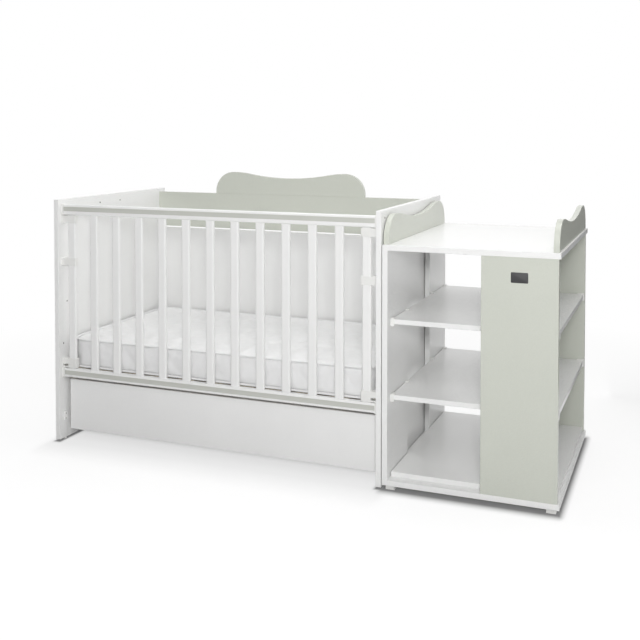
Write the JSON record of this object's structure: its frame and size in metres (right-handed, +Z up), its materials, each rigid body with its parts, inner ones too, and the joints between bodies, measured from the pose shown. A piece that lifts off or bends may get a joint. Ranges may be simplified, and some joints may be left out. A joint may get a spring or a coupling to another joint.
{
  "type": "convertible crib",
  "caption": "White convertible crib with sage green trim, a slatted front side, a wavy crest on the back, an under-bed drawer and an open shelf unit with a guarded changing top.",
  "frame": {"origin": "on the floor, under the middle of the whole object", "axes": "+X along the crib towards the shelf unit, +Y from the front to the back, +Z up"},
  "size_m": [1.822, 0.75, 0.973],
  "materials": {
    "white_board": "white melamine-faced board, satin",
    "green_board": "pale sage green melamine-faced board, satin",
    "white_lacquer": "white lacquer on solid wood, satin",
    "green_strip": "sage green inlay strip, matt",
    "white_plastic": "white moulded plastic",
    "zinc_screw": "zinc-plated steel",
    "runner_steel": "white powder-coated steel",
    "roller_nylon": "natural nylon",
    "bare_wood": "bare planed softwood",
    "mattress_cover": "white quilted cotton cover with piping"
  },
  "bodies": {
    "frame": {"back_board": "green_board", "back_crest": "green_board", "back_panel": "white_board", "base_bearers": "bare_wood", "base_cleats": "bare_wood", "base_slats": "bare_wood", "dowels": "bare_wood", "end_panel_glides": "white_plastic", "fixing_plates": "white_plastic", "front_bottom_rail": "white_lacquer", "front_slat_01": "white_lacquer", "front_slat_02": "white_lacquer", "front_slat_03": "white_lacquer", "front_slat_04": "white_lacquer", "front_slat_05": "white_lacquer", "front_slat_06": "white_lacquer", "front_slat_07": "white_lacquer", "front_slat_08": "white_lacquer", "front_slat_09": "white_lacquer", "front_slat_10": "white_lacquer", "front_slat_11": "white_lacquer", "front_slat_12": "white_lacquer", "front_slat_13": "white_lacquer", "front_strips": "green_strip", "front_top_rail": "white_lacquer", "guard_left": "green_board", "guard_right": "green_board", "left_end_panel": "white_board", "link_spacers": "white_plastic", "linking_bolts": "zinc_screw", "mattress": "mattress_cover", "rail_end_caps": "white_plastic", "right_end_panel": "white_board", "runner_channel_left": "runner_steel", "runner_channel_right": "runner_steel", "shelf_clips": "white_plastic", "side_brackets": "white_plastic", "side_screws": "zinc_screw", "unit_base": "white_board", "unit_bottom_shelf": "white_board", "unit_feet": "white_plastic", "unit_front_panel": "green_board", "unit_left_front_board": "white_board", "unit_left_rear_board": "white_board", "unit_lower_shelf": "white_board", "unit_rear_panel": "green_board", "unit_top": "white_board", "unit_upper_shelf": "white_board"},
    "drawer": {"drawer_front": "white_board", "drawer_side_left": "white_board", "drawer_side_right": "white_board", "drawer_back": "white_board", "drawer_floor": "white_board", "drawer_runner_left": "runner_steel", "drawer_runner_right": "runner_steel"},
    "channel_roller_left": {"channel_roller_left": "roller_nylon"},
    "channel_roller_right": {"channel_roller_right": "roller_nylon"},
    "drawer_roller_left": {"drawer_roller_left": "roller_nylon"},
    "drawer_roller_right": {"drawer_roller_right": "roller_nylon"}
  },
  "joints": [
    {"name": "drawer_slide", "type": "slide", "parent": "frame", "child": "drawer", "axis": [0, -1, 0], "range_m": [0, 0.48]},
    {"name": "channel_roller_left_spin", "type": "hinge", "parent": "frame", "child": "channel_roller_left", "pos_m": [-0.8877, -0.287, 0.0576], "axis": [1, 0, 0], "range_deg": [0, 2760]},
    {"name": "channel_roller_right_spin", "type": "hinge", "parent": "frame", "child": "channel_roller_right", "pos_m": [0.3287, -0.287, 0.0576], "axis": [1, 0, 0], "range_deg": [0, 2760]},
    {"name": "drawer_roller_left_spin", "type": "hinge", "parent": "drawer", "child": "drawer_roller_left", "pos_m": [-0.8853, 0.281, 0.0573], "axis": [1, 0, 0], "range_deg": [0, 2760]},
    {"name": "drawer_roller_right_spin", "type": "hinge", "parent": "drawer", "child": "drawer_roller_right", "pos_m": [0.3263, 0.281, 0.0573], "axis": [1, 0, 0], "range_deg": [0, 2760]}
  ],
  "couplings": [
    {"joint": "channel_roller_left_spin", "follows": "drawer_slide", "rad_per_m": 100},
    {"joint": "channel_roller_right_spin", "follows": "drawer_slide", "rad_per_m": 100},
    {"joint": "drawer_roller_left_spin", "follows": "drawer_slide", "rad_per_m": 100},
    {"joint": "drawer_roller_right_spin", "follows": "drawer_slide", "rad_per_m": 100}
  ]
}
